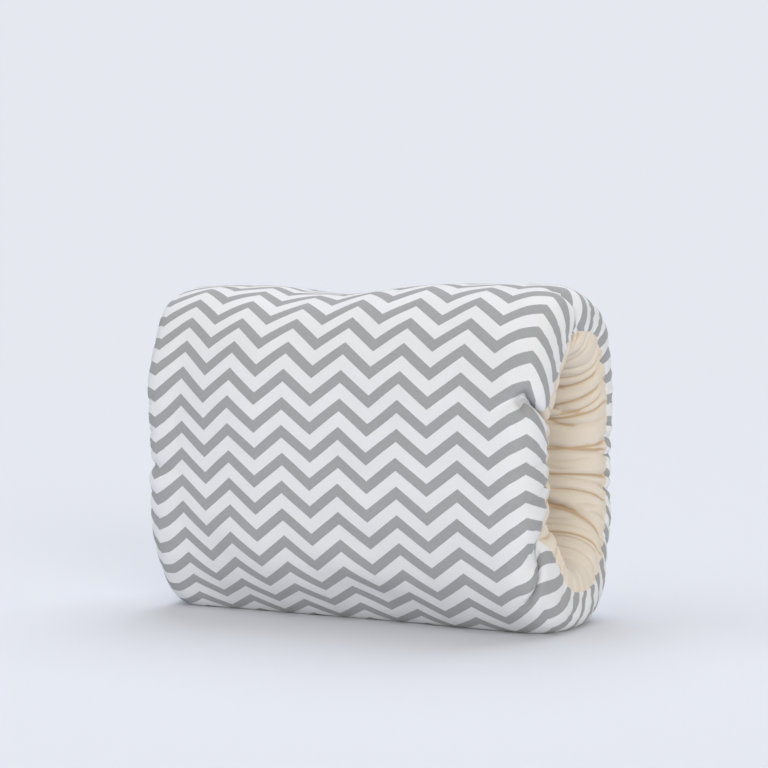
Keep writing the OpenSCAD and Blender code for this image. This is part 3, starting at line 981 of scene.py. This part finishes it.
def make_band(name, node, lining, material):
    """A ribbed elastic band round the tunnel, behind the lining."""
    low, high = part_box(node)
    middle, half = (low.x + high.x) / 2, (high.x - low.x) / 2
    at = int(np.abs(lining[:, :, 0].mean(1) - middle).argmin())
    path, away = mean_ring(lining[at]), unit(mean_ring(normals_of(lining)[at], 61))
    count, behind = 300, 5.0 * MM
    pick = np.arange(count) * len(path) // count
    path, away = path[pick] - away[pick] * behind, away[pick]
    along = unit(np.roll(path, -1, 0) - np.roll(path, 1, 0))
    across = unit(np.cross(away, along))

    # Its section: ribs on both faces, rounded at the edges.
    width, thick, ribs = min(half, 6 * MM), 0.5 * MM, 7
    k = np.linspace(-1, 1, 36)
    rib = 0.16 * MM * np.cos(k * ribs * math.pi)
    height = (thick + rib) * np.sqrt(np.clip(1 - np.abs(k) ** 10, 0, 1))
    front, back = np.stack([width * k, height], -1), np.stack([width * k, -height], -1)
    section = np.concatenate([front, back[::-1][1:-1]])
    wave = 0.25 * MM * np.sin(np.arange(count) * 2 * math.pi * 61 / count)
    ring = path[:, None] + across[:, None] * section[None, :, :1]
    ring = ring + away[:, None] * (section[None, :, 1:] + wave[:, None, None])
    band = put(name, mesh_of(name, ring, grid_faces(count, len(section), closed_along=True)))
    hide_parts(node)
    band.data.materials.append(material)


def make_filling(name, inset, lump, waves, reach, seed, settled=0.0):
    """A stuffed ring inside the cover, inset from it, uneven by about lump, and settled a little."""
    turn = np.linspace(0, math.pi, 16)
    flat = np.linspace(FLAT_X, -FLAT_X, 60)
    rows = [(FLAT_X, angle) for angle in turn[::-1]] + [(x, 0.0) for x in flat[1:-1]]
    rows += [(-FLAT_X, angle) for angle in turn] + [(x, math.pi) for x in flat[::-1][1:-1]]
    x, turn, share = grid_of(np.array(rows), np.arange(240) / 240)
    full = ring_point(x, turn, share)
    out = normals_of(np.concatenate([full[-1:], full, full[:1]]))[1:-1]
    end = smooth(np.abs(full[..., 0]), FLAT_X - 10 * MM, FLAT_X + 22 * MM)
    proud = np.where(turn < 1, stuffing(full, share), 0) + lump * unevenness(share, x, waves, reach, seed)
    drawn = 2.5 * MM * hump(x, 0, 16 * MM) * (turn > 3)
    full = full + out * (proud - settled - drawn - inset * (1 + 0.25 * end))[..., None]
    full[..., 2] = np.maximum(full[..., 2], 0.4 * inset)
    return put(name, mesh_of(name, full, grid_faces(*share.shape, closed_along=True)))


# ---------------- the zip and the label
def dress(node, material, bevel=0.0):
    """Gives a CAD node that is shown its material, and softens its edges."""
    piece = frame["nodes"][node]
    for place in piece.material_slots:
        place.material = material
    if not piece.material_slots:
        piece.data.materials.append(material)
    if bevel:
        round_off = piece.modifiers.new("soft_edges", "BEVEL")
        round_off.width, round_off.segments = bevel, 2
        round_off.limit_method = "ANGLE"
        round_off.harden_normals = False


def make_label():
    """The blank care label, a folded satin strip sewn in behind the zip's lower tape."""
    low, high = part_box("care_label")
    long, tall = high.x - low.x, high.z - low.z
    across, up = np.meshgrid(np.linspace(0, 1, 41), np.linspace(0, 1, 21))
    curl = 0.9 * MM * (1 - up) ** 2 * (0.6 + 0.4 * np.sin(across * 2.2 * math.pi))
    y = high.y - curl - 0.1 * MM * np.sin(up * 9)
    points = np.stack([low.x + across * long, y, low.z + up * tall], -1)
    piece = put("label", mesh_of("label", points, grid_faces(*across.shape, closed_round=False)))
    piece.data.materials.append(label_material())
    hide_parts("care_label")


# ---------------- building the pieces
cover, rows, shares, cover_run, cover_hollow = make_cover(COVER_STEPS)
lining_steps = LINING_STEPS
lining, lining_shares, lining_run, lining_hollow = make_lining(lining_steps, cover, shares)
make_cover_piece(cover, rows, shares, cover_run, cover_hollow)
make_stitching()
make_lining_piece(lining, lining_shares, lining_run, lining_hollow)

elastic = elastic_material()
for side in ("left", "right"):
    make_band("elastic_mouth_" + side, "mouth_elastic_" + side, lining, elastic)
make_band("elastic_middle", "middle_elastic", lining, elastic)

tape = tape_material()
teeth = moulded_material("nylon", (0.70, 0.70, 0.71, 1), rough=0.38, metallic=0.0, grain=0.02 * MM)
nickel = moulded_material("nickel", (0.62, 0.62, 0.64, 1), rough=0.30, metallic=1.0, grain=0.004 * MM)
for side in ("upper", "lower"):
    dress("zip_tape_" + side, tape)
    dress("zip_teeth_" + side, teeth, 0.12 * MM)
for node in ("zip_top_stops", "zip_bottom_stop"):
    dress(node, nickel, 0.15 * MM)
for node in ("zip_slider", "zip_pull"):
    dress(node, nickel, 0.22 * MM)
make_label()

bag = make_filling("bag", inset=7 * MM, lump=0.5 * MM, waves=30, reach=14 * MM, seed=51)
bag.data.materials.append(bag_material())
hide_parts("fill_bag")

fibre = make_filling("fibre", 10 * MM, lump=1.0 * MM, waves=14, reach=16 * MM, seed=52, settled=0.6 * MM)
fibre.data.materials.append(fibre_material())
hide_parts("fibre_fill")

# ---------------- the stage
BACKGROUND = (0.783, 0.807, 0.870)
FLOOR_HALF, DOME_RADIUS = 9, 9.5

# Light that reaches the floor, as a share of what makes a white surface look white: from the room, then from
# each lamp, which has a name, a direction, that share, a width in radians and a colour.
SKY = 0.29
WARM, NEUTRAL, COOL = (1.12, 1.0, 0.80), (1.03, 1.0, 0.94), (0.930, 1.0, 1.119)
LAMPS = (
    ("top", (-0.06, 0.45, 0.88), 0.46, 0.9, COOL),
    ("right", (0.64, -0.74, 0.2), 0.108, 0.7, NEUTRAL),
    ("left", (-0.55, -0.42, 0.76), 0.16, 1.1, COOL),
)
FLOOR_LIGHT = SKY + sum(lamp[2] for lamp in LAMPS)


def sun(name, towards, energy, spread, colour):
    """A soft distant light that comes from that direction."""
    light = bpy.data.lights.new(name, "SUN")
    light.energy, light.angle, light.color = energy, spread, colour
    lamp = bpy.data.objects.new(name, light)
    lamp.rotation_euler = Vector(towards).to_track_quat("Z", "Y").to_euler()
    link(lamp)


def make_floor():
    """A pale floor, which far away fades into the background's own tone."""
    corners = [(x * FLOOR_HALF, y * FLOOR_HALF, 0) for x, y in ((-1, -1), (1, -1), (1, 1), (-1, 1))]
    floor = bpy.data.objects.new("floor", mesh_of("floor", corners, [(0, 1, 2, 3)]))
    material, tree, shader = new_material("floor", 0.95, 0.0)
    shader.inputs["Base Color"].default_value = (*[part / FLOOR_LIGHT for part in BACKGROUND], 1)
    away = wire(tree, "VectorMath", {"operation": "LENGTH"}, own_place(tree)).outputs["Value"]
    glow = wire(tree, "Emission", {}, (*BACKGROUND, 1), 1.0)
    far = ramp(tree, away, 1.2, 3.5)
    both = wire(tree, "MixShader", {}, far, shader.outputs[0], glow.outputs[0])
    tree.links.new(both.outputs[0], tree.nodes["Material Output"].inputs[0])
    floor.data.materials.append(material)
    link(floor)
    return floor


def make_dome():
    """A plain dome of the background's tone, which the camera sees and no light does."""
    bpy.ops.mesh.primitive_uv_sphere_add(segments=32, ring_count=16, radius=DOME_RADIUS)
    dome = bpy.context.object
    dome.name = "dome"
    material = bpy.data.materials.new("dome")
    material.use_nodes = True
    tree = material.node_tree
    tree.nodes.clear()
    glow = wire(tree, "Emission", {}, (*BACKGROUND, 1), 1.0)
    wire(tree, "OutputMaterial", {}, glow.outputs[0])
    dome.data.materials.append(material)
    dome.visible_diffuse = dome.visible_glossy = dome.visible_shadow = False
    return dome


def make_lights():
    """The room's even light and the lamps."""
    world = bpy.data.worlds.new("room")
    bpy.context.scene.world = world
    world.use_nodes = True
    world.node_tree.nodes["Background"].inputs["Color"].default_value = (*WARM, 1)
    world.node_tree.nodes["Background"].inputs["Strength"].default_value = SKY
    for name, towards, on_floor, spread, colour in LAMPS:
        towards = Vector(towards).normalized()
        sun(name, towards, math.pi * on_floor / towards.z, spread, colour)


def make_camera():
    """The main view: low, and to the right of the front."""
    azimuth, yaw, pitch = math.radians(27.4), math.radians(-0.19), math.radians(2.54)
    distance, height = 1.25, 0.196
    lens = bpy.data.cameras.new("camera")
    lens.lens = 95.9
    camera = bpy.data.objects.new("camera", lens)
    camera.location = (math.sin(azimuth) * distance, -math.cos(azimuth) * distance + MID_Y, height)
    aim = azimuth + yaw
    look = Vector((-math.sin(aim) * math.cos(pitch), math.cos(aim) * math.cos(pitch), -math.sin(pitch)))
    camera.rotation_euler = look.to_track_quat("-Z", "Y").to_euler()
    link(camera)
    bpy.context.scene.camera = camera


make_floor()
make_dome()
make_lights()
make_camera()
bpy.context.scene.view_settings.view_transform = "Standard"
